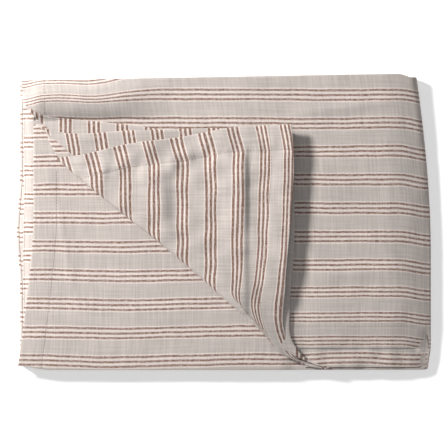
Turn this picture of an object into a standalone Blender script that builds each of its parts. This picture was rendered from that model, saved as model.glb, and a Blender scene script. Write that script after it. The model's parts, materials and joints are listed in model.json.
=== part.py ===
"""A long woven baby wrap sling, folded into a flat rectangular stack with one corner turned back.

Units are metres and +Z is up. The origin is the middle of the rectangle that the stack rests in, on
the surface it lies on. The cloth is folded round a spine along the +X edge, so the stack has a lower
and an upper half of eight leaves each. The upper half opens about the spine like the cover of a book.
The three topmost leaves are turned back together over a slanting crease and form the corner flap.
"""

import math

import bmesh
import bpy

# The cloth. A leaf is one thickness of cloth, and neighbours in the stack are one gap apart.
CLOTH_THICKNESS = 0.0007
LEAF_GAP = 0.0003
LEAF_PITCH = CLOTH_THICKNESS + LEAF_GAP
LEAVES_PER_HALF = 8
HEM_WIDTH = 0.026
HEM_LOFT = 0.0003
THREAD_WIDTH = 0.0006

# The folded stack, seen from above.
HALF_LENGTH = 0.2275
HALF_DEPTH = 0.1625
SPINE_BACK_X = 0.2135
SPINE_FRONT_X = HALF_LENGTH
UPPER_LEFT_X = -0.220
UNDER_LEAF_LEFT_X = (-0.205, -0.2235)
TOP_LEAF_LEFT_X = (-0.221, -0.221)
TOP_LEAF_FRONT_Y = -0.138

# The spine: quarter rolls above and below the middle plane, all centred on one line.
FIRST_ROLL_RADIUS = 0.0002
HALF_ROLL_GAP = LEAF_GAP / 2
ROLL_RADIUS = FIRST_ROLL_RADIUS + LEAVES_PER_HALF * LEAF_PITCH - LEAF_GAP
MIDDLE_Z = ROLL_RADIUS + HALF_ROLL_GAP
ROLL_STEPS = 6

# The slanting crease of the corner flap. It turns about this line, half a gap above the stack.
STACK_TOP_Z = MIDDLE_Z + HALF_ROLL_GAP + ROLL_RADIUS
CREASE_POINT = (-0.183, 0.0725)
CREASE_ANGLE = math.radians(-40.1)
CREASE_DIRECTION = (math.cos(CREASE_ANGLE), math.sin(CREASE_ANGLE))
CREASE_Z = STACK_TOP_Z + LEAF_GAP / 2
FLAP_LEAVES = 3
FLAP_RADII = [LEAF_GAP / 2 + layer * LEAF_PITCH for layer in range(FLAP_LEAVES)]
CREASE_CLEARANCE = FLAP_RADII[-1] + CLOTH_THICKNESS + 0.00045
CREASE_STEPS = 10

# The free edges of the three turned-back leaves: left end, right-hand corner and foot of the side edge.
FLAP_OUTLINES = {
    "inner": ((-0.2157, 0.128), (0.045, 0.079), (0.045, -0.150)),
    "middle": ((-0.230, 0.098), (0.0755, 0.104), (0.0715, -0.165)),
    "outer": ((-0.200, 0.0673), (0.0735, 0.106), (0.0655, -0.165)),
}

CLOTH_COLOUR = (0.62, 0.57, 0.51, 1.0)
HEM_COLOUR = (0.68, 0.63, 0.57, 1.0)
THREAD_COLOUR = (0.78, 0.74, 0.67, 1.0)


def clear_scene():
    for obj in list(bpy.data.objects):
        bpy.data.objects.remove(obj, do_unlink=True)


def make_material(name, colour, roughness):
    material = bpy.data.materials.new(name)
    material.use_nodes = True
    shader = material.node_tree.nodes["Principled BSDF"]
    shader.inputs["Base Color"].default_value = colour
    shader.inputs["Roughness"].default_value = roughness
    shader.inputs["Metallic"].default_value = 0.0
    return material


def make_axis_empty(name, point, parent=None):
    """An empty on a joint's axis, which the pieces that turn about it are parented to."""
    empty = bpy.data.objects.new(name, None)
    bpy.context.scene.collection.objects.link(empty)
    empty.location = point
    if parent is not None:
        empty.parent = parent
        empty.location = [own - base for own, base in zip(point, parent.matrix_world.translation)]
    bpy.context.view_layer.update()
    return empty


def make_piece(name, vertices, faces, material, parent=None):
    """One closed piece. Its vertices are given in world metres, and its origin is its parent's."""
    origin = parent.matrix_world.translation if parent else (0.0, 0.0, 0.0)
    mesh = bpy.data.meshes.new(name)
    local = [[value - base for value, base in zip(vertex, origin)] for vertex in vertices]
    mesh.from_pydata(local, [], faces)
    shape = bmesh.new()
    shape.from_mesh(mesh)
    bmesh.ops.recalc_face_normals(shape, faces=shape.faces)
    shape.to_mesh(mesh)
    shape.free()
    mesh.materials.append(material)
    piece = bpy.data.objects.new(name, mesh)
    bpy.context.scene.collection.objects.link(piece)
    piece.parent = parent
    return piece


def side_of(point, line_point, direction):
    """Distance of a point to the left of a line, seen from above."""
    return direction[0] * (point[1] - line_point[1]) - direction[1] * (point[0] - line_point[0])


def keep_left(outline, line_point, direction, distance=0.0):
    """The part of a convex outline that lies more than a distance to the left of a line."""
    kept = []
    for index, point in enumerate(outline):
        following = outline[(index + 1) % len(outline)]
        here = side_of(point, line_point, direction) - distance
        there = side_of(following, line_point, direction) - distance
        if here >= 0:
            kept.append(point)
        if here * there < 0:
            share = here / (here - there)
            kept.append(tuple(a + share * (b - a) for a, b in zip(point, following)))
    return kept


def keep_right(outline, line_point, direction, distance=0.0):
    """The part of a convex outline that lies less than a distance to the left of a line."""
    backwards = (-direction[0], -direction[1])
    return keep_left(outline, line_point, backwards, -distance)


def unit(start, end):
    length = math.dist(start, end)
    return tuple((b - a) / length for a, b in zip(start, end))


def split_hem(outline, start, end, width=HEM_WIDTH):
    """(body, stitch row, hem) of a leaf whose hemmed edge runs from start to end, cloth on the left."""
    direction = unit(start, end)
    row_start = width + LEAF_GAP
    row_end = row_start + THREAD_WIDTH
    hem = keep_right(outline, start, direction, width)
    row = keep_right(keep_left(outline, start, direction, row_start), start, direction, row_end)
    body = keep_left(outline, start, direction, row_end + LEAF_GAP)
    return body, row, hem


def prism(name, outline, low, high, material, parent=None):
    """A flat piece of cloth or a stitch row: an outline between two heights."""
    count = len(outline)
    vertices = [(x, y, z) for z in (low, high) for x, y in outline]
    faces = [tuple(range(count)), tuple(range(count, 2 * count))]
    faces += [(i, (i + 1) % count, count + (i + 1) % count, count + i) for i in range(count)]
    return make_piece(name, vertices, faces, material, parent)


def spine_x(y):
    """X of the spine's outermost line, which leans a little."""
    share = (HALF_DEPTH - y) / (2 * HALF_DEPTH)
    return SPINE_BACK_X + share * (SPINE_FRONT_X - SPINE_BACK_X)


def leaf_outline(left_x, front_y=-HALF_DEPTH):
    """Outline of a leaf's flat part: right front, right back, left back, left front."""
    left_back_x, left_front_x = left_x
    right_front = (spine_x(front_y) - ROLL_RADIUS, front_y)
    right_back = (spine_x(HALF_DEPTH) - ROLL_RADIUS, HALF_DEPTH)
    return [right_front, right_back, (left_back_x, HALF_DEPTH), (left_front_x, front_y)]


def leaf(name, outline, inner_radius, thickness, up, material, parent=None):
    """Flat cloth that rolls a quarter turn at the spine. The outline starts along its spine edge."""
    count = len(outline)
    centre_z = MIDDLE_Z + up * HALF_ROLL_GAP
    outer_radius = inner_radius + thickness
    vertices = [(x, y, centre_z + up * inner_radius) for x, y in outline]
    vertices += [(x, y, centre_z + up * outer_radius) for x, y in outline]
    faces = [tuple(range(count)), tuple(range(count, 2 * count))]
    faces += [(i, (i + 1) % count, count + (i + 1) % count, count + i) for i in range(1, count)]
    section = (0, 1, count + 1, count)
    for step in range(1, ROLL_STEPS + 1):
        angle = math.pi / 2 * (1 - step / ROLL_STEPS)
        base = len(vertices)
        for index, radius in ((0, inner_radius), (1, inner_radius), (1, outer_radius), (0, outer_radius)):
            x, y = outline[index]
            vertices.append((x + radius * math.cos(angle), y, centre_z + up * radius * math.sin(angle)))
        ring = (base, base + 1, base + 2, base + 3)
        for side in range(4):
            after = (side + 1) % 4
            faces.append((section[side], section[after], ring[after], ring[side]))
        section = ring
    faces.append(section)
    return make_piece(name, vertices, faces, material, parent)


def crease_roll(name, inner_radius, start, end, material, parent):
    """Half a tube round the crease, which joins a turned-back leaf to the leaf it comes from."""
    across = (-CREASE_DIRECTION[1], CREASE_DIRECTION[0])
    vertices = []
    for along in (start, end):
        foot = [base + along * step for base, step in zip(CREASE_POINT, CREASE_DIRECTION)]
        for radius in (inner_radius, inner_radius + CLOTH_THICKNESS):
            for step in range(CREASE_STEPS + 1):
                angle = math.pi / 2 + math.pi * step / CREASE_STEPS
                reach = radius * math.cos(angle)
                x, y = (base + reach * way for base, way in zip(foot, across))
                vertices.append((x, y, CREASE_Z + radius * math.sin(angle)))
    row = CREASE_STEPS + 1
    rings = [list(range(row)) + list(range(2 * row - 1, row - 1, -1))]
    rings.append([index + 2 * row for index in rings[0]])
    count = 2 * row
    faces = [tuple(rings[0]), tuple(rings[1])]
    for side in range(count):
        after = (side + 1) % count
        faces.append((rings[0][side], rings[0][after], rings[1][after], rings[1][side]))
    return make_piece(name, vertices, faces, material, parent)


def roll_radius(index):
    """Inner radius of the leaf with this index, counted from the middle of the stack."""
    return FIRST_ROLL_RADIUS + index * LEAF_PITCH


def make_lower_half(cloth):
    """The four double-leaf panels that stay on the surface, numbered from the bottom up."""
    double = CLOTH_THICKNESS + LEAF_PITCH
    outline = leaf_outline((-HALF_LENGTH, -HALF_LENGTH))
    for number in range(1, 5):
        radius = roll_radius(LEAVES_PER_HALF - 2 * number)
        leaf(f"lower_panel_{number}", outline, radius, double, -1, cloth)


def make_upper_panels(cloth, parent):
    """The two double-leaf panels at the bottom of the upper half."""
    double = CLOTH_THICKNESS + LEAF_PITCH
    outline = leaf_outline((UPPER_LEFT_X, UPPER_LEFT_X))
    for number in range(1, 3):
        radius = roll_radius(2 * number - 2)
        leaf(f"upper_panel_{number}", outline, radius, double, 1, cloth, parent)


def sew_end_hem(name, outline, end_edge, index, materials, parent):
    """The sewn-down left end of a leaf of the upper half. Returns the outline of the rest of the leaf."""
    _, hem_cloth, thread = materials
    body, row, hem = split_hem(outline, *end_edge)
    low = MIDDLE_Z + HALF_ROLL_GAP + roll_radius(index)
    high = low + CLOTH_THICKNESS
    prism(f"{name}_end_hem", hem, low, high, hem_cloth, parent)
    prism(f"{name}_end_stitching", row, low, high, thread, parent)
    return body


def make_upper_leaves(materials, parent):
    """The under leaf, which lies bare beside the flap, and the three leaves the flap is turned from."""
    cloth, hem_cloth, thread = materials
    left_back_x, left_front_x = UNDER_LEAF_LEFT_X
    end_edge = ((left_back_x, HALF_DEPTH), (left_front_x, -HALF_DEPTH))
    body = sew_end_hem("under_leaf", leaf_outline(UNDER_LEAF_LEFT_X), end_edge, 4, materials, parent)
    leaf("under_leaf", body, roll_radius(4), CLOTH_THICKNESS, 1, cloth, parent)

    for name, index in (("third_leaf", 5), ("second_leaf", 6)):
        outline = leaf_outline(TOP_LEAF_LEFT_X)
        outline = keep_left(outline, CREASE_POINT, CREASE_DIRECTION, CREASE_CLEARANCE)
        leaf(name, outline, roll_radius(index), CLOTH_THICKNESS, 1, cloth, parent)

    left_x = TOP_LEAF_LEFT_X[0]
    end_edge = ((left_x, HALF_DEPTH), (left_x, TOP_LEAF_FRONT_Y))
    outline = leaf_outline(TOP_LEAF_LEFT_X, TOP_LEAF_FRONT_Y)
    outline = keep_left(outline, CREASE_POINT, CREASE_DIRECTION, CREASE_CLEARANCE)
    body = sew_end_hem("top_leaf", outline, end_edge, 7, materials, parent)
    side_edge = ((left_x, TOP_LEAF_FRONT_Y), (spine_x(TOP_LEAF_FRONT_Y), TOP_LEAF_FRONT_Y))
    body, side_row, side_hem = split_hem(body, *side_edge)
    leaf("top_leaf", body, roll_radius(7), CLOTH_THICKNESS, 1, cloth, parent)
    leaf("top_leaf_side_hem", side_hem, roll_radius(7), CLOTH_THICKNESS, 1, hem_cloth, parent)
    leaf("top_leaf_side_stitching", side_row, roll_radius(7), CLOTH_THICKNESS, 1, thread, parent)


def make_flap(materials, parent):
    """The turned-back corner: three leaves with their hems, and the three nested rolls at the crease."""
    cloth, hem_cloth, thread = materials
    for name, radius in zip(FLAP_OUTLINES, FLAP_RADII):
        left_end, corner, foot = FLAP_OUTLINES[name]
        low = CREASE_Z + radius
        high = low + CLOTH_THICKNESS
        loft = HEM_LOFT if name == "outer" else 0.0
        left_foot = (left_end[0], left_end[1] - HALF_DEPTH)
        outline = keep_left([foot, corner, left_end, left_foot], CREASE_POINT, CREASE_DIRECTION, LEAF_GAP)
        body, row, hem = split_hem(outline, corner, left_end)
        if name == "outer":
            body, side_row, side_hem = split_hem(body, foot, corner)
            prism("flap_outer_side_hem", side_hem, low, high + loft, hem_cloth, parent)
            prism("flap_outer_side_stitching", side_row, low, high + loft, thread, parent)
        prism(f"flap_{name}_leaf", body, low, high, cloth, parent)
        prism(f"flap_{name}_end_hem", hem, low, high + loft, hem_cloth, parent)
        prism(f"flap_{name}_end_stitching", row, low, high + loft, thread, parent)
        reaches = [
            (x - CREASE_POINT[0]) * CREASE_DIRECTION[0] + (y - CREASE_POINT[1]) * CREASE_DIRECTION[1]
            for x, y in outline
            if abs(side_of((x, y), CREASE_POINT, CREASE_DIRECTION) - LEAF_GAP) < LEAF_GAP / 10
        ]
        crease_roll(f"crease_roll_{name}", radius, min(reaches), max(reaches), hem_cloth, parent)


def main():
    clear_scene()
    cloth = make_material("wrap_cloth", CLOTH_COLOUR, 0.92)
    hem_cloth = make_material("hem_cloth", HEM_COLOUR, 0.92)
    thread = make_material("sewing_thread", THREAD_COLOUR, 0.75)
    materials = (cloth, hem_cloth, thread)
    spine = make_axis_empty("spine_axis", (spine_x(0.0), 0.0, MIDDLE_Z))
    crease = make_axis_empty("crease_axis", (*CREASE_POINT, CREASE_Z), spine)
    make_lower_half(cloth)
    make_upper_panels(cloth, spine)
    make_upper_leaves(materials, spine)
    make_flap(materials, crease)


main()
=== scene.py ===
"""Looks of a long linen baby wrap, folded flat with its top corner turned back over a slanting crease."""

import json
import math

import bmesh
import bpy
import numpy as np
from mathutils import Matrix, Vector


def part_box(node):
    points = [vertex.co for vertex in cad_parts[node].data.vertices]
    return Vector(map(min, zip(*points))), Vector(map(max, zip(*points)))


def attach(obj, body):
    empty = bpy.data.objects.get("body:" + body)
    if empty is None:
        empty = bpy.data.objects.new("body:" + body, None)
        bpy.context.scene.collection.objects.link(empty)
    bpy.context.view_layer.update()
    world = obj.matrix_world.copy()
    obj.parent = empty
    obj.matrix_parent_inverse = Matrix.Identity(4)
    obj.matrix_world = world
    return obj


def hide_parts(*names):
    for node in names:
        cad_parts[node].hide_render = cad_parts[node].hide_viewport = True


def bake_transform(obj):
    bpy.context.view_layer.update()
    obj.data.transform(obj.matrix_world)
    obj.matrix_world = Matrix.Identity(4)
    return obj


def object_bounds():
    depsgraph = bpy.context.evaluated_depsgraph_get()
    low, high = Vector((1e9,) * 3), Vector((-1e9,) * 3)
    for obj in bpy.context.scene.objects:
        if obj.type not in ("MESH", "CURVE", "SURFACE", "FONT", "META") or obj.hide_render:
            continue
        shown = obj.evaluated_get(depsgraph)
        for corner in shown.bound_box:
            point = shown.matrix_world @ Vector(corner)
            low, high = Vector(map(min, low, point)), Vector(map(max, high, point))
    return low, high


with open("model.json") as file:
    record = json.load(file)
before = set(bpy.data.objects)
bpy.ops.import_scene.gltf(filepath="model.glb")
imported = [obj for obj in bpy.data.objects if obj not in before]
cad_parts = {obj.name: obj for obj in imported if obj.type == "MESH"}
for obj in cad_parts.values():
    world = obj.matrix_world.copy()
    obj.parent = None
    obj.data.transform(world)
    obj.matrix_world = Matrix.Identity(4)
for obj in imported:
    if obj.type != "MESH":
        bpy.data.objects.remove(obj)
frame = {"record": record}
cad_low, cad_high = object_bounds()

# Studio. The camera looks straight down on the laid cloth. One broad soft lamp stands beyond the back
# left corner, and a pale sky fills the shadows. The floor is plain pale paper.
CAMERA_HEIGHT = 2.6
VIEW_WIDTH = 0.4906
VIEW_CENTRE_Y = -0.0022
camera_data = bpy.data.cameras.new("camera")
camera_data.sensor_width = 36.0
camera_data.lens = camera_data.sensor_width * (CAMERA_HEIGHT - cad_high.z) / VIEW_WIDTH
camera = bpy.data.objects.new("camera", camera_data)
camera.location = (0.0, VIEW_CENTRE_Y, CAMERA_HEIGHT)
bpy.context.scene.collection.objects.link(camera)
bpy.context.scene.camera = camera


def area_light(name, place, aim, size, power, colour):
    data = bpy.data.lights.new(name, "AREA")
    data.shape = "DISK"
    data.size = size
    data.energy = power
    data.color = colour
    lamp = bpy.data.objects.new(name, data)
    lamp.location = place
    lamp.rotation_euler = (Vector(aim) - Vector(place)).to_track_quat("-Z", "Y").to_euler()
    bpy.context.scene.collection.objects.link(lamp)


area_light("window", (-1.45, 0.95, 0.84), (0.0, 0.0, 0.0), 0.36, 76.0, (1.0, 0.99, 0.975))
area_light("fill", (0.2, -0.4, 2.4), (0.0, 0.0, 0.0), 2.0, 6.0, (1.0, 1.0, 1.0))

world = bpy.data.worlds.new("studio")
world.use_nodes = True
world.node_tree.nodes["Background"].inputs["Color"].default_value = (0.96, 0.98, 1.0, 1.0)
world.node_tree.nodes["Background"].inputs["Strength"].default_value = 0.30
bpy.context.scene.world = world
bpy.context.scene.view_settings.view_transform = "Standard"

floor_mesh = bpy.data.meshes.new("floor")
FLOOR_HALF = 4.0
floor_corners = [(-1, -1), (1, -1), (1, 1), (-1, 1)]
FLOOR_LEVEL = -0.0002
floor_places = [(FLOOR_HALF * x, FLOOR_HALF * y, FLOOR_LEVEL) for x, y in floor_corners]
floor_mesh.from_pydata(floor_places, [], [(0, 1, 2, 3)])
floor = bpy.data.objects.new("floor", floor_mesh)
paper = bpy.data.materials.new("floor_paper")
paper.use_nodes = True
paper.node_tree.nodes["Principled BSDF"].inputs["Base Color"].default_value = (0.95, 0.95, 0.95, 1.0)
paper.node_tree.nodes["Principled BSDF"].inputs["Roughness"].default_value = 0.9
paper.node_tree.nodes["Principled BSDF"].inputs["Emission Color"].default_value = (1.0, 1.0, 1.0, 1.0)
paper.node_tree.nodes["Principled BSDF"].inputs["Emission Strength"].default_value = 0.32
floor_mesh.materials.append(paper)
bpy.context.scene.collection.objects.link(floor)

# The cloth itself. Linen in plain weave, grey-beige, with groups of three thin brown lines between
# cream ones running the length of the wrap. The yarns are uneven, so streaks run along both yarns.
# The UV map "cloth" holds metres: U along the wrap, V across it, with a stripe group at each period.
STRIPE_PERIOD = 0.0311
LINE_SPACING = 0.0051
LINE_HALF_WIDTH = 0.00122
CREAM_HALF_WIDTH = 0.0078
EDGE_BLUR = 0.00045
YARN_PITCH = 0.00075
GREY_LINEN = (0.472, 0.422, 0.392, 1.0)
CREAM_LINEN = (0.665, 0.585, 0.545, 1.0)
BROWN_LINEN = (0.175, 0.090, 0.062, 1.0)


def node_maker(tree):
    """A function that adds a node, sets its plain inputs, and links the inputs given as sockets."""
    def add(kind, settings=None, **inputs):
        node = tree.nodes.new(kind)
        for key, value in (settings or {}).items():
            setattr(node, key, value)
        for key, value in inputs.items():
            socket = node.inputs[int(key[1:])] if key[0] == "i" and key[1:].isdigit() else node.inputs[key]
            if isinstance(value, bpy.types.NodeSocket):
                tree.links.new(value, socket)
            else:
                socket.default_value = value
        return node
    return add


def linen_group():
    """Stripes, streaks and weave of the linen, from a position on the cloth in metres."""
    tree = bpy.data.node_groups.new("striped_linen", "ShaderNodeTree")
    tree.interface.new_socket("Cloth", in_out="INPUT", socket_type="NodeSocketVector")
    tree.interface.new_socket("Boldness", in_out="INPUT", socket_type="NodeSocketFloat")
    tree.interface.new_socket("Color", in_out="OUTPUT", socket_type="NodeSocketColor")
    tree.interface.new_socket("Roughness", in_out="OUTPUT", socket_type="NodeSocketFloat")
    tree.interface.new_socket("Height", in_out="OUTPUT", socket_type="NodeSocketFloat")
    add = node_maker(tree)
    group_in = tree.nodes.new("NodeGroupInput")
    group_out = tree.nodes.new("NodeGroupOutput")

    def maths(operation, first, second=0.0, third=0.0):
        return add("ShaderNodeMath", {"operation": operation}, i0=first, i1=second, i2=third).outputs[0]

    def noise(scale_u, scale_v, detail):
        stretched = add("ShaderNodeVectorMath", {"operation": "MULTIPLY"}, i0=group_in.outputs[0],
                        i1=(scale_u, scale_v, 1.0)).outputs[0]
        return add("ShaderNodeTexNoise", {"noise_dimensions": "2D"}, Vector=stretched, Scale=1.0,
                   Detail=detail, Roughness=0.6).outputs[0]

    def ramp(value, low, high, to_low, to_high):
        made = add("ShaderNodeMapRange", {"interpolation_type": "SMOOTHSTEP"}, i0=value, i1=low, i2=high,
                   i3=to_low, i4=to_high)
        return made.outputs[0]

    def mixed(factor, first, second, blend="MIX"):
        settings = {"data_type": "RGBA", "blend_type": blend}
        node = add("ShaderNodeMix", settings, i0=factor, i6=first, i7=second)
        return node.outputs[2]

    parts = add("ShaderNodeSeparateXYZ", i0=group_in.outputs[0])
    along, across = parts.outputs[0], parts.outputs[1]
    ragged = maths("MULTIPLY_ADD", noise(900.0, 900.0, 2.0), 0.0007, -0.00035)
    wander = maths("MULTIPLY_ADD", noise(35.0, 60.0, 1.0), 0.0012, -0.0006)
    placed = maths("ADD", maths("ADD", across, ragged), wander)
    phase = maths("SUBTRACT", maths("FRACT", maths("MULTIPLY_ADD", placed, 1.0 / STRIPE_PERIOD, 0.5)), 0.5)
    distance = maths("MULTIPLY", maths("ABSOLUTE", phase), STRIPE_PERIOD)
    thinned = maths("MULTIPLY_ADD", group_in.outputs["Boldness"], -0.0002, distance)
    middle = ramp(thinned, LINE_HALF_WIDTH - EDGE_BLUR, LINE_HALF_WIDTH + EDGE_BLUR, 1.0, 0.0)
    apart = maths("ABSOLUTE", maths("SUBTRACT", distance, LINE_SPACING))
    beside = maths("MULTIPLY_ADD", group_in.outputs["Boldness"], -0.0002, apart)
    outer = ramp(beside, LINE_HALF_WIDTH - EDGE_BLUR, LINE_HALF_WIDTH + EDGE_BLUR, 1.0, 0.0)
    lines = maths("MAXIMUM", middle, outer)
    cream = ramp(distance, CREAM_HALF_WIDTH - EDGE_BLUR, CREAM_HALF_WIDTH + EDGE_BLUR, 1.0, 0.0)
    worn = ramp(noise(240.0, 700.0, 3.0), 0.30, 0.70, 0.58, 1.0)
    colour = mixed(cream, GREY_LINEN, CREAM_LINEN)
    firmness = maths("MULTIPLY", maths("MULTIPLY_ADD", group_in.outputs["Boldness"], 0.22, 1.0), worn)
    colour = mixed(maths("MULTIPLY", lines, maths("MINIMUM", firmness, 1.0)), colour, BROWN_LINEN)

    weft_streak = noise(620.0, 22.0, 3.0)
    warp_streak = noise(16.0, 900.0, 3.0)
    broad = noise(22.0, 26.0, 2.0)
    streaks = maths("ADD", maths("MULTIPLY", weft_streak, 0.55), maths("MULTIPLY", warp_streak, 0.45))
    tint = maths("ADD", ramp(streaks, 0.32, 0.68, 0.86, 1.12), maths("MULTIPLY_ADD", broad, 0.10, -0.05))
    tint_colour = add("ShaderNodeCombineXYZ", i0=tint, i1=tint, i2=maths("MULTIPLY_ADD", tint, 0.9, 0.1))
    colour = mixed(1.0, colour, tint_colour.outputs[0], "MULTIPLY")

    over = maths("SINE", maths("MULTIPLY", along, math.pi / YARN_PITCH))
    under = maths("SINE", maths("MULTIPLY", across, math.pi / YARN_PITCH))
    crossing = maths("MULTIPLY", over, under)
    yarn = ramp(crossing, -0.8, 0.8, 0.0, 1.0)
    colour = mixed(maths("MULTIPLY", maths("SUBTRACT", 1.0, yarn), 0.16), colour, (0.20, 0.17, 0.15, 1.0))
    height = maths("ADD", maths("MULTIPLY", crossing, 0.00006), maths("MULTIPLY", streaks, 0.00030))
    roughness = ramp(streaks, 0.3, 0.7, 0.95, 0.82)
    tree.links.new(colour, group_out.inputs[0])
    tree.links.new(roughness, group_out.inputs[1])
    tree.links.new(height, group_out.inputs[2])
    return tree


def linen_material(name, boldness):
    material = bpy.data.materials.new(name)
    material.use_nodes = True
    tree = material.node_tree
    add = node_maker(tree)
    shader = tree.nodes["Principled BSDF"]
    shader.inputs["Sheen Weight"].default_value = 0.12
    shader.inputs["Sheen Roughness"].default_value = 0.6
    shader.inputs["Specular IOR Level"].default_value = 0.2
    uv = add("ShaderNodeUVMap", {"uv_map": "cloth"})
    linen = add("ShaderNodeGroup", {"node_tree": LINEN}, i0=uv.outputs[0], Boldness=boldness)
    bump = add("ShaderNodeBump", Strength=0.9, Distance=1.0, Height=linen.outputs["Height"])
    tree.links.new(linen.outputs["Color"], shader.inputs["Base Color"])
    tree.links.new(linen.outputs["Roughness"], shader.inputs["Roughness"])
    tree.links.new(bump.outputs[0], shader.inputs["Normal"])
    return material


LINEN = linen_group()
wrap_linen = linen_material("wrap_linen", 0.0)
reverse_linen = linen_material("wrap_linen_reverse", 1.0)

# The stack. The wrap is folded in half across its width, at the back edge, then in eighths along its
# length. Four folded pairs nest round the spine at the right, each an upper and a lower double leaf.
# The heights come from the frame, and the edges in plan drift a little, as hand-folded cloth does.
joints = {joint["name"]: joint for joint in frame["record"]["behaviour"]["joints"]}
MIDDLE_Z = joints["spine_fold"]["pos_m"][2]
LEAF_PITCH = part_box("top_leaf")[1].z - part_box("second_leaf")[1].z
TOP_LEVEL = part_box("top_leaf")[1].z - MIDDLE_Z - 0.00035
CLOTH_THICKNESS = 0.0004
HEM_WIDTH = 0.026
GROOVE = HEM_WIDTH - 0.0015
HEM_RADIUS = 0.00026
TURN_UNDER = 0.022
CREASE_POINT = np.array(joints["corner_crease"]["pos_m"][:2])
CREASE_WAY = np.array(joints["corner_crease"]["axis"][:2])
CREASE_NORMAL = np.array([-CREASE_WAY[1], CREASE_WAY[0]])
SEAM_START = -0.070
SEAM_END = 0.325


def smooth(value, start, end):
    share = np.clip((value - start) / (end - start), 0.0, 1.0)
    return share * share * (3.0 - 2.0 * share)


def bell(value, middle, width):
    return np.exp(-(((value - middle) / width) ** 2))


def soft_noise(x, y, size, seed):
    """Smooth, repeatable unevenness of about this size in metres, between about -1 and 1."""
    draw = np.random.default_rng(seed)
    total = np.zeros(np.broadcast(x, y).shape)
    waves = 10
    for angle, phase, stretch in zip(draw.uniform(0, math.tau, waves), draw.uniform(0, math.tau, waves),
                                     draw.uniform(0.7, 1.6, waves)):
        reach = math.tau / size * stretch
        total = total + np.sin(reach * (x * math.cos(angle) + y * math.sin(angle)) + phase)
    return total / math.sqrt(2.0 * waves)


def crease_line(x, y):
    """(distance along the crease, distance from it towards the back right corner)."""
    east, north = x - CREASE_POINT[0], y - CREASE_POINT[1]
    return east * CREASE_WAY[0] + north * CREASE_WAY[1], east * CREASE_NORMAL[0] + north * CREASE_NORMAL[1]


def crease_place(along, across):
    return CREASE_POINT + along * CREASE_WAY + across * CREASE_NORMAL


def seam_distance(along, widest):
    """How far from the crease a seam lies, from its widest at the upper end to nothing at the foot."""
    return widest * (SEAM_END - along) / (SEAM_END - SEAM_START)


def ridge(x, y, start, end, width, height):
    """A soft straight wrinkle from start to end, which fades out over its own length."""
    way = np.subtract(end, start)
    length = math.hypot(*way)
    share = ((x - start[0]) * way[0] + (y - start[1]) * way[1]) / length**2
    off = ((y - start[1]) * way[0] - (x - start[0]) * way[1]) / length
    return height * bell(off, 0.0, width) * np.exp(-((2.0 * share - 1.0) ** 4))


def back_edge(x):
    return 0.1593 + 0.018 * x - 0.006 * smooth(x, 0.190, 0.213)


def spine_edge(y):
    bulge = np.clip((y + 0.03) / 0.19, 0.0, 1.2)
    return 0.2278 - 0.0158 * bulge**1.8 - 0.003 * smooth(-y, 0.135, 0.162)


def lift(x, y):
    """How far the top of the stack stands above its nominal height."""
    raised = 0.00035 * soft_noise(x, y, 0.12, 3) + 0.00016 * soft_noise(x, y, 0.034, 4)
    crest = 0.1360 - 0.006 * smooth(-x, 0.195, 0.222)
    front_side = (1.0 - np.clip((crest - y) / 0.0235, 0.0, 1.0) ** 2) ** 0.9
    hump = np.where(y > crest, bell(y, crest, 0.0200), front_side)
    hump = hump * (1.0 - smooth(x, -0.130, -0.050)) * (0.50 + 0.50 * smooth(x, -0.224, -0.203))
    raised = raised + 0.0078 * hump
    raised = raised - 0.0012 * bell(x, 0.084, 0.012) * smooth(-y, -0.10, -0.04)
    raised = raised + ridge(x, y, (0.150, -0.010), (0.198, -0.046), 0.004, 0.0011)
    raised = raised + ridge(x, y, (0.085, 0.120), (0.190, 0.132), 0.006, 0.0010)
    raised = raised + ridge(x, y, (0.090, -0.060), (0.210, -0.052), 0.008, 0.0008)
    raised = raised + ridge(x, y, (-0.150, -0.020), (-0.060, -0.100), 0.006, 0.0009)
    raised = raised + ridge(x, y, (-0.200, -0.100), (-0.080, -0.125), 0.009, 0.0010)
    raised = raised + ridge(x, y, (-0.185, 0.030), (-0.165, -0.080), 0.005, 0.0009)
    raised = raised + 0.0007 * soft_noise(x, y, 0.030, 5) * smooth(-y, 0.125, 0.150) * smooth(x, 0.05, 0.09)
    sag = 0.0008 * smooth(-x, 0.195, 0.228) + 0.0012 * smooth(-y, 0.140, 0.165)
    sag = sag + 0.0030 * smooth(-y, 0.100, 0.150) * smooth(x, 0.06, 0.10)
    sag = sag + 0.0062 * np.clip((x - 0.178) / 0.042, 0.0, 1.1) ** 1.7
    return raised - sag


def stacked_height(x, y, radius):
    """Height of a leaf at this distance above the middle, or below it if negative."""
    nominal = MIDDLE_Z + radius
    share = np.clip(nominal / (MIDDLE_Z + TOP_LEVEL), 0.0, 1.2)
    return nominal + lift(x, y) * share**2


def turned_under(distance):
    """(distance from the hem edge, drop) of cloth that runs past its edge and is turned under."""
    bend = math.pi * HEM_RADIUS
    angle = np.clip(-distance / HEM_RADIUS, 0.0, math.pi)
    inside = np.where(distance >= 0.0, distance, np.maximum(-distance - bend, 0.0))
    return inside - HEM_RADIUS * np.sin(angle), HEM_RADIUS * (1.0 - np.cos(angle))


def hem_steps(spacing):
    """Distances from a hem's edge for a grid: the turned-under part, then the bend."""
    under = -np.arange(TURN_UNDER, 0.002, -spacing) - math.pi * HEM_RADIUS
    return np.concatenate([under, -HEM_RADIUS * math.pi * np.array([1.0, 0.75, 0.5, 0.25])])


def hem_profile(distance, along):
    """Height of a hem beside the single cloth, with the puckered groove that its stitches pull in."""
    doubled = 0.00020 * (1.0 - smooth(distance, HEM_WIDTH - 0.0050, HEM_WIDTH + 0.0010))
    puckers = 0.55 + 0.45 * soft_noise(along, 0.0 * along, 0.011, 41)
    return doubled - 0.00024 * puckers * bell(distance, GROOVE, 0.0026)


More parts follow.
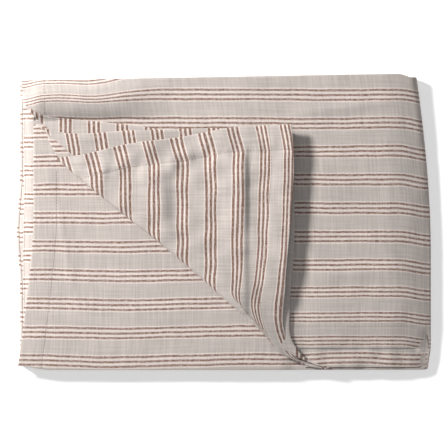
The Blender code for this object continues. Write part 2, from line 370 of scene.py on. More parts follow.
def make_sheet(name, places, cloth_uv, material, turned=None):
    """A sheet of cloth with real thickness, from a grid of places and of positions on the flat cloth.

    turned holds how far each place has gone round the fold between two bodies, from 0 to 1, so that the
    finished sheet can be divided there by divided().
    """
    rows, columns = places.shape[:2]
    number = np.arange(rows * columns).reshape(rows, columns)
    corners = [number[:-1, :-1], number[:-1, 1:], number[1:, 1:], number[1:, :-1]]
    faces = np.stack(corners, axis=-1).reshape(-1, 4)
    mesh = bpy.data.meshes.new(name)
    mesh.from_pydata(places.reshape(-1, 3).tolist(), [], faces.tolist())
    layer = mesh.uv_layers.new(name="cloth")
    layer.data.foreach_set("uv", cloth_uv.reshape(-1, 2)[faces.reshape(-1)].astype(np.float32).ravel())
    mesh.materials.append(material)
    mesh.shade_smooth()
    if turned is not None:
        column = np.broadcast_to(np.arange(columns), (rows, columns))
        for label, values in (("turned", turned), ("column", column)):
            attribute = mesh.attributes.new(label, "FLOAT", "POINT")
            attribute.data.foreach_set("value", values.reshape(-1).astype(np.float32))
    sheet = bpy.data.objects.new(name, mesh)
    bpy.context.scene.collection.objects.link(sheet)
    shape = bmesh.new()
    shape.from_mesh(mesh)
    bmesh.ops.remove_doubles(shape, verts=shape.verts, dist=1e-6)
    shape.to_mesh(mesh)
    shape.free()
    solid = sheet.modifiers.new("thickness", "SOLIDIFY")
    solid.thickness = CLOTH_THICKNESS
    solid.offset = 0.0
    return sheet


def apply_modifiers(obj):
    """The object's own mesh, with its modifiers made plain."""
    graph = bpy.context.evaluated_depsgraph_get()
    plain = bpy.data.meshes.new_from_object(obj.evaluated_get(graph))
    obj.modifiers.clear()
    obj.data = plain
    plain.name = obj.name


def point_values(mesh, label):
    values = np.zeros(len(mesh.vertices), np.float32)
    mesh.attributes[label].data.foreach_get("value", values)
    return values


NOT_TURNED = 0.001
FULLY_TURNED = 0.999
COLUMN_MARGIN = 0.01


def divided(whole, names, columns):
    """The finished sheet as pieces that meet without a step: its two flat ends, then runs of its fold.

    names holds those of the end before the fold, the end past it, and each run of the fold between two
    of the columns. A name of None is a piece the sheet hasn't got.
    """
    mesh = whole.data
    starts = np.zeros(len(mesh.polygons), np.int32)
    mesh.polygons.foreach_get("loop_start", starts)
    corners = np.zeros(len(mesh.loops), np.int32)
    mesh.loops.foreach_get("vertex_index", corners)
    turned = point_values(mesh, "turned")[corners]
    column = point_values(mesh, "column")[corners]
    before = np.maximum.reduceat(turned, starts) < NOT_TURNED
    past = np.minimum.reduceat(turned, starts) > FULLY_TURNED
    low, high = np.minimum.reduceat(column, starts), np.maximum.reduceat(column, starts)
    chosen = [before, past]
    for start, end in zip(columns, columns[1:]):
        inside_run = (low > start - COLUMN_MARGIN) & (high < end + COLUMN_MARGIN)
        chosen.append(~before & ~past & inside_run)
    normals = np.zeros(3 * len(mesh.vertices), np.float32)
    mesh.vertices.foreach_get("normal", normals)
    mesh.attributes.new("whole_normal", "FLOAT_VECTOR", "POINT").data.foreach_set("vector", normals)
    # The points of the cloth's second face follow those of its first, in the same order.
    face_size = len(mesh.vertices) // 2
    order = np.arange(2 * face_size, dtype=np.int32)
    mesh.attributes.new("point_number", "INT", "POINT").data.foreach_set("value", order)
    pieces = []
    for name, faces in zip(names, chosen):
        if name is None:
            continue
        part = mesh.copy()
        shape = bmesh.new()
        shape.from_mesh(part)
        shape.faces.ensure_lookup_table()
        left_out = [shape.faces[int(index)] for index in np.flatnonzero(~faces)]
        bmesh.ops.delete(shape, geom=left_out, context="FACES")
        # The open edge between the cloth's two faces is closed again where it was divided.
        number = shape.verts.layers.int["point_number"]
        found = {vert[number]: vert for vert in shape.verts}
        for edge in [edge for edge in shape.edges if edge.is_boundary]:
            loop = edge.link_loops[0]
            first, second = loop.vert, loop.link_loop_next.vert
            if max(first[number], second[number]) < face_size:
                behind = [found.get(vert[number] + face_size) for vert in (first, second)]
                if None not in behind:
                    shape.faces.new((second, first, behind[0], behind[1])).smooth = True
        shape.to_mesh(part)
        shape.free()
        kept = np.zeros(3 * len(part.vertices), np.float32)
        part.attributes["whole_normal"].data.foreach_get("vector", kept)
        part.attributes.remove(part.attributes["whole_normal"])
        part.attributes.remove(part.attributes["point_number"])
        part.normals_split_custom_set_from_vertices(kept.reshape(-1, 3))
        piece = bpy.data.objects.new(name, part)
        bpy.context.scene.collection.objects.link(piece)
        pieces.append(piece)
    bpy.data.objects.remove(whole)
    return pieces


def leaf_level(x, y, z):
    """How far above the middle of the stack a leaf through these places lies: stacked_height reversed."""
    bend = 4.0 * lift(x, y) / (MIDDLE_Z + TOP_LEVEL) ** 2
    bend = np.where(np.abs(bend) < 1e-6, 1e-6, bend)
    return 2.0 * (np.sqrt(np.maximum(1.0 + bend * z, 0.0)) - 1.0) / bend - MIDDLE_Z


def cut_leaf(obj, low, high, distance):
    """Cuts one upper leaf back to a line beside the crease, where the flap's own cloth takes over."""
    mesh = obj.data
    centres = np.zeros(3 * len(mesh.polygons))
    mesh.polygons.foreach_get("center", centres)
    x, y, z = centres.reshape(-1, 3).T
    level = leaf_level(x, y, z)
    on_leaf = np.flatnonzero((x < spine_edge(0.0) - 0.03) & (low < level) & (level < high))
    shape = bmesh.new()
    shape.from_mesh(mesh)
    shape.faces.ensure_lookup_table()
    faces = [shape.faces[int(index)] for index in on_leaf]
    verts = list({vert for face in faces for vert in face.verts})
    edges = list({edge for face in faces for edge in face.edges})
    start = crease_place(SEAM_START, distance)
    end = crease_place(SEAM_END, 0.0)
    outward = (end[1] - start[1], start[0] - end[0], 0.0)
    bmesh.ops.bisect_plane(shape, geom=verts + edges + faces, plane_co=(start[0], start[1], 0.0),
                           plane_no=outward, clear_outer=True)
    shape.to_mesh(mesh)
    shape.free()


def stripe_rows_top(x, y):
    """Stripe coordinate of the top leaf: the stripes sag at the right end and bunch at the front edge."""
    first = 0.1396
    dip = 0.0045 * smooth(x, 0.190, 0.228)
    near_hump = 1.0 - smooth(x, -0.157, -0.070)
    dip = dip + near_hump * np.clip(0.0049 + (y - 0.1347) * 0.58, 0.0, 0.017)
    dip = dip + 0.0050 * smooth(-x, 0.198, 0.222)
    ripple = 0.0016 * np.sin((x + 0.20) / 0.0125) * near_hump * bell(y, 0.135, 0.02)
    bunch = 0.33 * STRIPE_PERIOD * (np.clip(-0.045 - y, 0.0, 0.2) / 0.0864) ** 2
    return first - y - dip + ripple + bunch + 0.0005 * soft_noise(x, y, 0.15, 8)


def stripe_rows_under(x, y):
    """Stripe coordinate of the under leaf, whose stripes sag between the hem and the flap."""
    first = 0.0668
    sag = 0.0030 * bell(x, -0.115, 0.07) * smooth(-y, -0.02, 0.12)
    return first - y - sag + 0.0006 * soft_noise(x, y, 0.12, 21)


def stripe_rows_second(x, y):
    """Stripe coordinate of the second leaf, seen as a strip in front of the top leaf's hem."""
    return 0.1500 + y - 0.0012 * np.sin((x - 0.11) / 0.021) * smooth(-y, 0.12, 0.15)


def stripe_rows_third(x, y):
    """Stripe coordinate of the third leaf, seen only in the pocket beside the flap's upper end."""
    return 0.0830 - y


def folded_pair(name, outer, left_edges, front_edges, stripes, fine, column_steps, end_hem, side_hem):
    """Two leaves joined by their fold at the back edge, and carried round the spine to the lower half.

    outer is the outer leaf's place, counted from the middle. fine holds the row spacing of the outer and
    the inner leaf. stripes holds the stripe coordinate of the outer and the inner leaf.
    """
    radius = TOP_LEVEL - (7 - outer) * LEAF_PITCH
    bend = LEAF_PITCH / 2.0
    fold_angles = np.linspace(0.0, math.pi, 7)[1:-1]
    rows = []
    hem = hem_steps(0.01)
    for distance in hem:
        rows.append((0.0, 0.0, distance))
    for share in np.linspace(0.0, 1.0, int(0.32 / fine[0])):
        rows.append((0.0, share, 0.0))
    for angle in fold_angles:
        rows.append((angle, 1.0, 0.0))
    for share in np.linspace(1.0, 0.0, int(0.32 / fine[1])):
        rows.append((math.pi, share, 0.0))
    for distance in hem[::-1]:
        rows.append((math.pi, 0.0, distance))
    columns = []
    for distance in hem_steps(0.01)[: None if end_hem else 0]:
        columns.append((1.0, 0.0, distance))
    for share in np.linspace(0.0, 1.0, int(0.44 / column_steps[0])):
        columns.append((1.0, share, 0.0))
    for turn in np.linspace(1.0, -1.0, 17)[1:-1]:
        columns.append((turn, 1.0, 0.0))
    for share in np.linspace(1.0, 0.0, int(0.44 / column_steps[1])):
        columns.append((-1.0, share, 0.0))
    fold, depth, front_turn = (part[:, None] for part in np.array(rows).T)
    turn, reach, end_turn = (part[None, :] for part in np.array(columns).T)
    inner_share = (1.0 - np.cos(fold)) / 2.0
    upper = (turn > 0.999)
    below = smooth(-turn, -0.95, 0.0)
    front = np.where(inner_share > 0.5, front_edges[2], front_edges[0])
    front = front * (1.0 - below) + front_edges[1] * below
    front_in, front_drop = turned_under(front_turn)
    y = front + (back_edge(0.0) - bend - front) * depth + bend * np.sin(fold) + front_in
    spine = spine_edge(y) - (TOP_LEVEL + 0.00035)
    left = np.where(upper, left_edges[0](y), left_edges[2](y))
    left = np.where(inner_share > 0.5, np.where(upper, left_edges[1](y), left_edges[2](y)), left)
    end_in, end_drop = turned_under(end_turn)
    x = left + (spine - left) * reach + end_in
    y = y + (back_edge(x) - back_edge(0.0)) * depth + 0.004 * smooth(-x, 0.190, 0.226) * (1.0 - depth)
    level = radius - bend * (1.0 - np.cos(fold)) - np.maximum(front_drop, end_drop)
    angle = turn * math.pi / 2.0
    on_arc = np.abs(turn) < 0.999
    x_round = spine + level * np.cos(angle)
    x = np.where(on_arc, x_round, x)
    relief = np.where(upper, hem_profile(x - left, y) + side_hem * hem_profile(y - front, x), 0.0)
    flat = stacked_height(x, y, np.sign(turn) * level) + relief
    z = np.where(on_arc, stacked_height(x, y, level * np.sin(angle)), flat)
    v_outer = stripes[0](x, y)
    v_inner = stripes[1](x, y)
    around = bend * fold
    v = np.where(inner_share > 0.5, v_inner, v_outer) - np.where((fold > 0) & (fold < math.pi), around, 0.0)
    v = v + np.where(front_turn < 0.0, -2.0 * front_turn, 0.0)
    mean = np.maximum(level, 0.0005)
    past_upper = np.where(on_arc, mean * (math.pi / 2.0 - angle), mean * math.pi + spine - x)
    u = np.where(upper, x - spine, past_upper)
    u = u + np.where(end_turn < 0.0, 2.0 * end_turn, 0.0)
    places = np.stack(np.broadcast_arrays(x, y, z), axis=-1)
    turned = (1.0 - turn) / 2.0 + 0.0 * x
    cloth = np.stack(np.broadcast_arrays(u, v), axis=-1)
    sheet = make_sheet(name + "_whole", places, cloth, wrap_linen, turned)
    return sheet, radius


EVERY_COLUMN = (-1.0, 1e6)
LEAST_BEND = 0.0001


def halves_and_spine(whole, name):
    """The finished pair as its upper half, its lower half, and the run that bends round the spine."""
    apply_modifiers(whole)
    names = (name, name + "_lower", name + "_spine")
    upper, lower, spine = divided(whole, names, EVERY_COLUMN)
    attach(upper, "upper_half")
    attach(lower, "lower_half")
    places = np.zeros(3 * len(spine.data.vertices), np.float32)
    spine.data.vertices.foreach_get("co", places)
    height = places.reshape(-1, 3)[:, 2]
    share = point_values(spine.data, "turned")
    start = float(height[share < NOT_TURNED].min())
    end = float(height[share > FULLY_TURNED].max())
    if start < end + LEAST_BEND:
        middle = (start + end) / 2.0
        start, end = middle + LEAST_BEND / 2.0, middle - LEAST_BEND / 2.0
    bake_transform(spine)
    return upper, lower, spine


def same_edge(x):
    return lambda y: x + 0.0 * y


def under_leaf_edge(y):
    return -0.2087 - 0.0165 * np.clip(-y / 0.157, 0.0, 1.1) ** 1.3


def lower_fold_edge(y):
    """Where the lower half's leaves reach their left folds, which stand out by 3.5 leaves more."""
    return -0.2212 - 0.0040 * bell(y, -0.010, 0.040)


def upper_fold_edge(y):
    return -0.2186 + 0.0006 * np.sin(y / 0.03)


# Outer pair. Its outer leaf is the top of the stack, and runs round the spine to become the underside.
# Both upper leaves end at the wrap's first end hem, and are cut here where the flap's own cloth begins.
TOP_FRONT = -0.1385
STACK_FRONT = -0.1620
SEAM_INNER = 0.030
SEAM_MIDDLE = 0.034
SEAM_OUTER = 0.026
TOP_END = -0.2215
HALF_LEAF = 0.00075
edges = (same_edge(TOP_END), same_edge(-0.2160), lower_fold_edge)
outer_whole, outer_radius = folded_pair(
    "outer_pair", 7, edges, (TOP_FRONT, STACK_FRONT + 0.001, STACK_FRONT + 0.003),
    (stripe_rows_top, stripe_rows_second), (0.0024, 0.0060), (0.0026, 0.016), 1.0, 1.0)
cut_leaf(outer_whole, outer_radius - HALF_LEAF, outer_radius + 0.0010, SEAM_INNER)
cut_leaf(outer_whole, outer_radius - HALF_LEAF - 0.0010, outer_radius - HALF_LEAF, SEAM_MIDDLE)
outer_pair, outer_lower, outer_spine = halves_and_spine(outer_whole, "outer_pair")
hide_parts("top_leaf", "top_leaf_end_hem", "top_leaf_side_hem", "second_leaf")
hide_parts("lower_panel_1")

# Second pair. Its inner leaf is the under leaf, bare beside the flap, with the second end hem at its left.
# Its outer leaf is cut where the outermost leaf of the flap begins.
edges = (same_edge(-0.2000), under_leaf_edge, lower_fold_edge)
second_whole, second_radius = folded_pair(
    "second_pair", 5, edges, (STACK_FRONT + 0.002, STACK_FRONT, STACK_FRONT),
    (stripe_rows_third, stripe_rows_under), (0.010, 0.0024), (0.0026, 0.016), 1.0, 0.0)
cut_leaf(second_whole, second_radius - HALF_LEAF, second_radius + 0.0010, SEAM_OUTER)
second_pair, second_lower, second_spine = halves_and_spine(second_whole, "second_pair")
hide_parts("under_leaf", "under_leaf_end_hem", "third_leaf")
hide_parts("lower_panel_2")

# Third and fourth pairs, the inside of the stack. Their left ends run on into folds.
for name, outer, phase, upper_node, lower_node in (
        ("third_pair", 3, 0.0253, "upper_panel_2", "lower_panel_3"),
        ("fourth_pair", 1, 0.017, "upper_panel_1", "lower_panel_4")):
    edges = (upper_fold_edge, upper_fold_edge, lower_fold_edge)
    whole, _ = folded_pair(
        name, outer, edges, (STACK_FRONT + 0.001, STACK_FRONT + 0.0005, STACK_FRONT + 0.001),
        (lambda x, y, phase=phase: phase - y, lambda x, y, phase=phase: phase + y), (0.012, 0.012),
        (0.012, 0.016), 0.0, 0.0)
    upper, lower, spine = halves_and_spine(whole, name)
    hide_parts(upper_node)
    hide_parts(lower_node)

# Left folds. Where the lower half's leaves turn back at the left, and the upper half's inner ones. The
# outer fold of each half goes round the inner one, and each also turns at the back edge.


def left_fold(name, half, radii, edge, centre, phase):
    """A pair of leaves going round one left fold, joined by the back fold, as one sheet."""
    bend = LEAF_PITCH / 2.0
    rows = [(0.0, share) for share in np.linspace(0.0, 1.0, 60)]
    rows += [(angle, 1.0) for angle in np.linspace(0.0, math.pi, 7)[1:-1]]
    rows += [(math.pi, share) for share in np.linspace(1.0, 0.0, 60)]
    fold, depth = (part[:, None] for part in np.array(rows).T)
    angle = np.linspace(0.0, math.pi, 13)[None, :]
    radius = radii[0] - (radii[0] - radii[1]) * (1.0 - np.cos(fold)) / 2.0
    y = STACK_FRONT + 0.001 + (back_edge(0.0) - bend - STACK_FRONT - 0.001) * depth + bend * np.sin(fold)
    left = edge(y)
    x = left - radius * np.sin(angle)
    y = y + (back_edge(x) - back_edge(0.0)) * depth + 0.004 * smooth(-x, 0.190, 0.226) * (1.0 - depth)
    level = centre - MIDDLE_Z + radius * np.cos(angle)
    z = stacked_height(x, y, level)
    u = radius * angle
    v = np.where(fold > 1.5, y, -y) + phase
    places = np.stack(np.broadcast_arrays(x, y, z), -1)
    sheet = make_sheet(name, places, np.stack(np.broadcast_arrays(u, v), -1), wrap_linen)
    apply_modifiers(sheet)
    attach(sheet, half)
    return sheet


LOWER_CENTRE = MIDDLE_Z - TOP_LEVEL + 3.5 * LEAF_PITCH
UPPER_CENTRE = MIDDLE_Z + TOP_LEVEL - 5.5 * LEAF_PITCH
left_folds = [
    left_fold("lower_left_fold_outer", "lower_half", (3.5 * LEAF_PITCH, 2.5 * LEAF_PITCH), lower_fold_edge,
              LOWER_CENTRE, 0.0200),
    left_fold("lower_left_fold_inner", "lower_half", (1.5 * LEAF_PITCH, 0.5 * LEAF_PITCH), lower_fold_edge,
              LOWER_CENTRE, 0.0),
    left_fold("upper_left_fold", "upper_half", (1.5 * LEAF_PITCH, 0.5 * LEAF_PITCH), upper_fold_edge,
              UPPER_CENTRE, 0.0253),
]

# Corner flap. Three leaves are turned back together over the slanting crease. Each is one sheet with a
# short run of the leaf it comes from, the roll at its crease, and the turned-back triangle with its hems.
LEAF_5, LEAF_6, LEAF_7 = (TOP_LEVEL - step * LEAF_PITCH for step in (2, 1, 0))


def through(points, share):
    """Places at these shares of a smooth curve through a few given points."""
    points = np.array(points, float)
    knots = np.concatenate([[0.0], np.cumsum(np.linalg.norm(np.diff(points, axis=0), axis=1))])
    knots = knots / knots[-1]
    slopes = np.gradient(points, knots, axis=0)
    share = np.asarray(share, float)
    index = np.clip(np.searchsorted(knots, share, side="right") - 1, 0, len(points) - 2)
    span = knots[index + 1] - knots[index]
    t = ((share - knots[index]) / span)[..., None]
    span = span[..., None]
    before, after = points[index], points[index + 1]
    return ((2 * t**3 - 3 * t**2 + 1) * before + (t**3 - 2 * t**2 + t) * span * slopes[index]
            + (-2 * t**3 + 3 * t**2) * after + (t**3 - t**2) * span * slopes[index + 1])


def flap_leaf(name, top_edge, side_edge, crease, source_level, rise, stripes, leaf_stripes, seam, left_reach,
              counts, roll_runs):
    """One turned-back leaf, and the strip of its own leaf between the roll and the seam.

    The first sheet holds the hems and the triangle. rise gives its height above the top leaf. left_reach is
    how far the strip's left end runs on to meet the leaf's end. roll_runs holds the shares of the crease at
    which the roll is divided.
    """
    many, rows = counts
    hem = hem_steps(0.008)
    share_c = np.concatenate([np.linspace(0.0, 1.0, many), np.ones(len(hem))])
    side_turn = np.concatenate([np.zeros(many), hem[::-1]])
    share_t = np.concatenate([np.zeros(len(hem)), np.linspace(0.0, 1.0, rows)])
    top_turn = np.concatenate([hem, np.zeros(rows)])
    c, side = share_c[None, :], side_turn[None, :]
    t, top = share_t[:, None], top_turn[:, None]
    outline = through(crease, share_c)
    ahead = np.gradient(through(crease, np.linspace(0.0, 1.0, many)), axis=0)
    ahead = np.concatenate([ahead, np.repeat(ahead[-1:], len(hem), axis=0)])
    ahead = ahead / np.linalg.norm(ahead, axis=1, keepdims=True)
    inward = np.stack([-ahead[:, 1], ahead[:, 0]], axis=-1)
    low_z = stacked_height(outline[:, 0], outline[:, 1], source_level)
    high_z = stacked_height(outline[:, 0], outline[:, 1], LEAF_7)
    high_z = high_z + rise(outline[:, 0], outline[:, 1], 0.1, 0.1)
    crease_points = (outline + inward * (high_z - low_z)[:, None] / 2.0)[None, :, :]
    top_points = through(top_edge, share_c)[None, :, :]
    edge_points = through(side_edge, share_t)[:, None, :]
    straight = top_points[:, -1:, :] * (1.0 - t[..., None]) + outline[None, -1:, :] * t[..., None]
    plan = top_points * (1.0 - t[..., None]) + crease_points * t[..., None]
    plan = plan + (edge_points - straight) * (c[..., None] ** 3)
    top_in, top_drop = turned_under(top)
    side_in, side_drop = turned_under(side)
    edge_y = edge_points[..., 1]
    width = edge_points[..., 0] - np.interp(-edge_y, -outline[:, 1], outline[:, 0])
    side_in = np.minimum(side_in, 0.7 * np.maximum(width, 0.0004))
    column = np.linalg.norm(crease_points - top_points, axis=-1)
    top_in = np.minimum(top_in, 0.7 * column)
    x = plan[..., 0] - side_in * np.ones_like(t)
    y = plan[..., 1] - top_in * np.ones_like(c)
    from_top = column * t + np.where(top < 0.0, np.maximum(top_in, 0.0), 0.0)
    from_side = np.abs(through(side_edge, share_t)[:, None, 0] - x)
    z = stacked_height(x, y, LEAF_7) + rise(x, y, from_top, from_side) - top_drop - side_drop
    z = z + 2.2 * hem_profile(from_top, x) + hem_profile(from_side, y)
    v = stripes(x, y, from_top, from_side) + 2.0 * side
    u = y + 2.0 * top
    # Lines for the hem stitches, just above the cloth.
    surface = np.stack([x, y, z + 0.0003], -1)
    end_row = []
    for index in range(many):
        steps = from_top[len(hem):, index]
        if steps[-1] > HEM_WIDTH:
            end_row.append([np.interp(GROOVE, steps, surface[len(hem):, index, axis]) for axis in range(3)])
    side_row = []
    for index in range(len(hem), len(hem) + int(0.86 * rows)):
        steps = from_side[index, :many][::-1]
        if steps[-1] > HEM_WIDTH:
            across = surface[index, :many][::-1]
            side_row.append([np.interp(GROOVE, steps, across[:, axis]) for axis in range(3)])
    # The roll turns under at the crease, square to it, down to its own leaf's level.
    end_x, end_y = x[-1], y[-1]
    low_z = stacked_height(end_x, end_y, source_level)
    roll = np.maximum((z[-1] - low_z) / 2.0, 0.0002)
    angles = np.linspace(0.0, math.pi, 13)[1:, None]
    roll_x = end_x - inward[:, 0] * roll * np.sin(angles)
    roll_y = end_y - inward[:, 1] * roll * np.sin(angles)
    roll_z = low_z + roll * (1.0 + np.cos(angles))
    path = roll * angles
    places = np.concatenate([np.stack([x, y, z], -1), np.stack([roll_x, roll_y, roll_z], -1)])
    cloth = np.concatenate([np.stack([u, v], -1), np.stack([u[-1] - 0.69 * path, v[-1] - 0.72 * path], -1)])
    turned = np.ones(places.shape[:2])
    turned[len(x):] = 1.0 - angles / math.pi
    whole = make_sheet(name + "_whole", places, cloth, reverse_linen, turned)
    apply_modifiers(whole)
    # The flat triangle turns with the corner. The roll is divided into short runs, which are not attached to
    # any body.
    ends = [0, *(int(share * (many - 1)) for share in roll_runs), many - 1 + len(hem)]
    roll_names = [f"{name}_roll_{step + 1}" for step in range(len(ends) - 1)]
    sheet, *rolls = divided(whole, (None, name, *roll_names), ends)
    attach(sheet, "corner_flap")
    for roll_run, first, last in zip(rolls, ends, [*ends[1:-1], many - 1]):
        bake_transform(roll_run)
    end_along, end_across = crease_line(end_x, end_y)
    shares = np.linspace(0.0, 1.0, 10)[:, None]
    shift = left_reach * (1.0 - smooth(share_c, 0.0, 0.25))
    run_to = np.maximum(seam_distance(end_along - shift, seam) + 0.0004 - end_across, 0.0005)
    run_x = end_x + CREASE_NORMAL[0] * run_to * shares - CREASE_WAY[0] * shift * shares**0.7
    run_y = end_y + CREASE_NORMAL[1] * run_to * shares - CREASE_WAY[1] * shift * shares**0.7
    run_z = stacked_height(run_x, run_y, source_level)
    run_cloth = np.stack([run_x, leaf_stripes(run_x, run_y)], -1)
    strip = make_sheet(name + "_root", np.stack([run_x, run_y, run_z], -1), run_cloth, wrap_linen)
    apply_modifiers(strip)
    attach(strip, "upper_half")
    return sheet, [strip, *rolls], end_row, side_row


def outer_rise(x, y, from_top, from_side):
    """The outer leaf stands off the stack: a puffed crease, soft upright folds, a lifted free edge."""
    _, off = crease_line(x, y)
    along, _ = crease_line(x, y)
    puff = 0.0030 * bell(off, 0.006, 0.022) * smooth(along, 0.0, 0.05) * (1.0 - smooth(along, 0.21, 0.29))
    base = 0.0034 + 0.0009 * smooth(along, 0.0, 0.06) + 0.0050 * np.clip((x + 0.045) / 0.120, 0.0, 1.0)
    base = base + 0.0030 * smooth(x, 0.036, 0.078)
    below = smooth(from_top, HEM_WIDTH - 0.006, HEM_WIDTH + 0.016)
    fold_one = 0.0030 * smooth(x, -0.100, -0.073) * (1.0 - smooth(x, -0.069, -0.054))
    fold_two = 0.0032 * smooth(x, -0.012, 0.018) * (1.0 - smooth(x, 0.0215, 0.0290))
    folds = below * fold_one * (1.0 - 0.8 * smooth(-y, -0.045, 0.015))
    folds = folds + below * fold_two * (1.0 - 0.5 * smooth(-y, -0.02, 0.06))
    ripple = 0.0010 * soft_noise(x, 0.4 * y, 0.022, 12) * bell(from_top, HEM_WIDTH, 0.013)
    ripple = ripple + 0.0006 * soft_noise(x, y, 0.035, 15)
    settle = 1.0 - smooth(along, 0.255, 0.335)
    return (base + folds + ripple) * settle + puff + 0.0014 * (1.0 - settle)


def outer_stripes(x, y, from_top, from_side):
    lean = 0.27 * np.clip(HEM_WIDTH - from_top, 0.0, HEM_WIDTH)
    lean = lean + 0.040 * (0.105 - y) * smooth(x, -0.020, 0.060)
    bunch = 3.2 * np.clip(x - 0.025, 0.0, 0.1) ** 2
    above = x + 0.0767 + lean + bunch + 0.0007 * soft_noise(x, y, 0.05, 31)
    tail = smooth(crease_line(x, y)[0], 0.235, 0.290)
    return above * (1.0 - tail) + (0.158 - from_side) * tail


outer_flap, outer_runs, outer_end_row, outer_side_row = flap_leaf(
    "outer_flap",
    [(-0.1835, 0.0700), (-0.1640, 0.0720), (-0.1050, 0.0850), (-0.0450, 0.0930), (0.0050, 0.1025),
     (0.0733, 0.1062)],
    [(0.0733, 0.1062), (0.0760, 0.0700), (0.0730, 0.0100), (0.0665, -0.0700), (0.0660, -0.1220),
     (0.0790, -0.1500), (0.1160, -0.1620)],
    [(-0.1835, 0.0695), (-0.1560, 0.0460), (-0.0380, -0.0500), (0.0320, -0.1120), (0.0660, -0.1412),
     (0.0850, -0.1560), (0.1160, -0.1625)],
    LEAF_5, outer_rise, outer_stripes, stripe_rows_third, SEAM_OUTER, 0.046, (130, 100),
    (0.1, 0.4, 0.7, 0.85))


def middle_rise(x, y, from_top, from_side):
    lifted_edge = 0.0016 * (1.0 - smooth(from_top, 0.0, 0.022)) * smooth(x, -0.185, -0.150)
    lifted_edge = lifted_edge * (1.0 - smooth(x, -0.06, 0.0))
    settle = 1.0 - smooth(crease_line(x, y)[0], 0.255, 0.335)
    return 0.0021 + lifted_edge + 0.0022 * smooth(x, 0.035, 0.07) * settle


def middle_stripes(x, y, from_top, from_side):
    return x + 0.1640 + 0.15 * np.clip(0.020 - from_top, 0.0, 0.02)


middle_flap, middle_runs, middle_end_row, _ = flap_leaf(
    "middle_flap",
    [(-0.2000, 0.1032), (-0.1820, 0.0985), (-0.1000, 0.1000), (-0.0020, 0.1024), (0.0690, 0.1010)],
    [(0.0690, 0.1010), (0.0762, 0.0300), (0.0758, -0.0340), (0.0715, -0.0950), (0.0735, -0.1300),
     (0.0975, -0.1570), (0.1170, -0.1615)],
    [(-0.2000, 0.1032), (-0.1812, 0.0870), (-0.1640, 0.0715), (-0.1250, 0.0300), (0.0300, -0.1050),
     (0.0850, -0.1510), (0.1170, -0.1620)],
    LEAF_6, middle_rise, middle_stripes, stripe_rows_second, SEAM_MIDDLE, 0.0395, (90, 60),
    (0.06, 0.15, 0.5, 0.8))


def inner_rise(x, y, from_top, from_side):
    lifted_edge = 0.0010 * (1.0 - smooth(from_top, 0.0, 0.020)) * smooth(x, -0.200, -0.170)
    return 0.0010 + lifted_edge * (1.0 - smooth(x, -0.10, -0.06))


def inner_stripes(x, y, from_top, from_side):
    return x + 0.1735


inner_flap, inner_runs, inner_end_row, _ = flap_leaf(
    "inner_flap",
    [(-0.2195, 0.1290), (-0.2000, 0.1168), (-0.1700, 0.1125), (-0.1320, 0.1090), (-0.0820, 0.1030),
     (0.0450, 0.0850)],
    [(0.0450, 0.0850), (0.0520, -0.0300), (0.0600, -0.1100), (0.0656, -0.1365)],
    [(-0.2195, 0.1280), (-0.2040, 0.1140), (-0.1930, 0.1035), (-0.1780, 0.0910), (-0.1300, 0.0450),
     (0.0388, -0.1120), (0.0656, -0.1365)],
    LEAF_7, inner_rise, inner_stripes, stripe_rows_top, SEAM_INNER, 0.011, (80, 50),
    (0.05, 0.10, 0.18, 0.30, 0.6))

for sheet, runs, node in ((outer_flap, outer_runs, "outer"), (middle_flap, middle_runs, "middle"),
                          (inner_flap, inner_runs, "inner")):
    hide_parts(f"flap_{node}_leaf", f"flap_{node}_end_hem")
    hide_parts(f"crease_roll_{node}")
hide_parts("flap_outer_side_hem")

# Hem stitches. Linen thread in an even lockstitch, a few millimetres a stitch, holds every hem down. Each
# stitch is a small rounded length of thread, laid along its row and a little uneven.
STITCH_PITCH = 0.0034
STITCH_LENGTH = 0.0027
THREAD_RADIUS = 0.00024
STITCH_SEED = 7

# The thread is brown, and its colour is painted darker still: painted shade for the shadow in the groove
# that the stitches pull into each hem.
thread = bpy.data.materials.new("linen_thread_with_painted_groove_shade")
thread.use_nodes = True
add = node_maker(thread.node_tree)
where_on_thread = add("ShaderNodeTexCoord")
fibres = add("ShaderNodeTexNoise", Vector=where_on_thread.outputs["Object"], Scale=2600.0, Detail=2.0)
thread_colour_darkened_as_groove_shade = add("ShaderNodeMix", {"data_type": "RGBA"}, i0=fibres.outputs[0], i6=(0.24, 0.19, 0.16, 1.0),
                    i7=(0.50, 0.43, 0.39, 1.0))
thread_shader = thread.node_tree.nodes["Principled BSDF"]
thread.node_tree.links.new(thread_colour_darkened_as_groove_shade.outputs[2], thread_shader.inputs["Base Color"])
thread_shader.inputs["Roughness"].default_value = 0.8

stitching = bpy.data.node_groups.new("stitch_row", "GeometryNodeTree")
sockets = {}
for label, kind, direction in (("Rows", "NodeSocketGeometry", "INPUT"),
                               ("Pitch", "NodeSocketFloat", "INPUT"),
                               ("Length", "NodeSocketFloat", "INPUT"),
                               ("Radius", "NodeSocketFloat", "INPUT"),
                               ("Seed", "NodeSocketInt", "INPUT"),
                               ("Stitches", "NodeSocketGeometry", "OUTPUT")):
    sockets[label] = stitching.interface.new_socket(label, in_out=direction, socket_type=kind).identifier
add = node_maker(stitching)
given = stitching.nodes.new("NodeGroupInput")
line = add("GeometryNodeMeshToCurve", Mesh=given.outputs["Rows"])
places = add("GeometryNodeCurveToPoints", {"mode": "LENGTH"}, Curve=line.outputs[0],
             Length=given.outputs["Pitch"])
bead = add("GeometryNodeMeshUVSphere", Segments=6, Rings=5, Radius=1.0)
half = add("ShaderNodeMath", {"operation": "MULTIPLY"}, i0=given.outputs["Length"], i1=0.5)
uneven = add("FunctionNodeRandomValue", {"data_type": "FLOAT"}, i2=0.8, i3=1.15, Seed=given.outputs["Seed"])
long_side = add("ShaderNodeMath", {"operation": "MULTIPLY"}, i0=half.outputs[0], i1=uneven.outputs[1])
size = add("ShaderNodeCombineXYZ", i0=given.outputs["Radius"], i1=given.outputs["Radius"],
           i2=long_side.outputs[0])
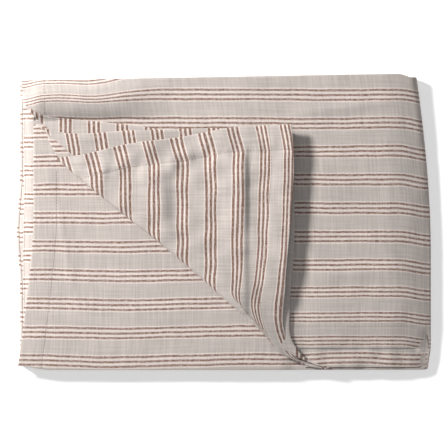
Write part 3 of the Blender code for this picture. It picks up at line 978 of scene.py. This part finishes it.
laid = add("GeometryNodeInstanceOnPoints", Points=places.outputs["Points"], Instance=bead.outputs["Mesh"],
           Rotation=places.outputs["Rotation"], Scale=size.outputs[0])
real = add("GeometryNodeRealizeInstances", Geometry=laid.outputs[0])
finished = add("GeometryNodeSetMaterial", Geometry=real.outputs[0], Material=thread)
stitching.links.new(finished.outputs[0], stitching.nodes.new("NodeGroupOutput").inputs[0])


def stitch_rows(name, rows):
    """One mesh of stitches along these lines."""
    points, edges = [], []
    for row in rows:
        edges += [(len(points) + step, len(points) + step + 1) for step in range(len(row) - 1)]
        points += [tuple(float(value) for value in place) for place in row]
    mesh = bpy.data.meshes.new(name)
    mesh.from_pydata(points, edges, [])
    obj = bpy.data.objects.new(name, mesh)
    bpy.context.scene.collection.objects.link(obj)
    maker = obj.modifiers.new("stitches", "NODES")
    maker.node_group = stitching
    settings = {"Pitch": STITCH_PITCH, "Length": STITCH_LENGTH, "Radius": THREAD_RADIUS, "Seed": STITCH_SEED}
    for label, value in settings.items():
        maker[sockets[label]] = value
    apply_modifiers(obj)
    obj.data.shade_smooth()
    return obj


def leaf_row(x, y, level, distance, along):
    """A line of places on an upper leaf, at the groove of its hem."""
    x, y = np.broadcast_arrays(x, y)
    z = stacked_height(x, y, level) + hem_profile(distance + 0.0 * x, along) + 0.0003
    return list(zip(x, y, z))


end_y = np.linspace(0.1560, 0.1200, 40)
front_x = np.linspace(0.0800, 0.2100, 90)
under_y = np.linspace(0.0550, -0.1590, 140)
upper_rows = [
    leaf_row(TOP_END + GROOVE + 0.0 * end_y, end_y, LEAF_7, GROOVE, end_y),
    leaf_row(front_x, TOP_FRONT + GROOVE + 0.0 * front_x, LEAF_7, GROOVE, front_x),
    leaf_row(under_leaf_edge(under_y) + GROOVE, under_y, LEAF_7 - 3.0 * LEAF_PITCH, GROOVE, under_y),
]
upper_stitches = stitch_rows("upper_half_stitches", upper_rows)
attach(upper_stitches, "upper_half")
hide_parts("top_leaf_end_stitching", "top_leaf_side_stitching", "under_leaf_end_stitching")
flap_stitches = stitch_rows("flap_stitches", [outer_end_row, outer_side_row, middle_end_row, inner_end_row])
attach(flap_stitches, "corner_flap")
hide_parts("flap_outer_end_stitching", "flap_outer_side_stitching",
            "flap_middle_end_stitching", "flap_inner_end_stitching")
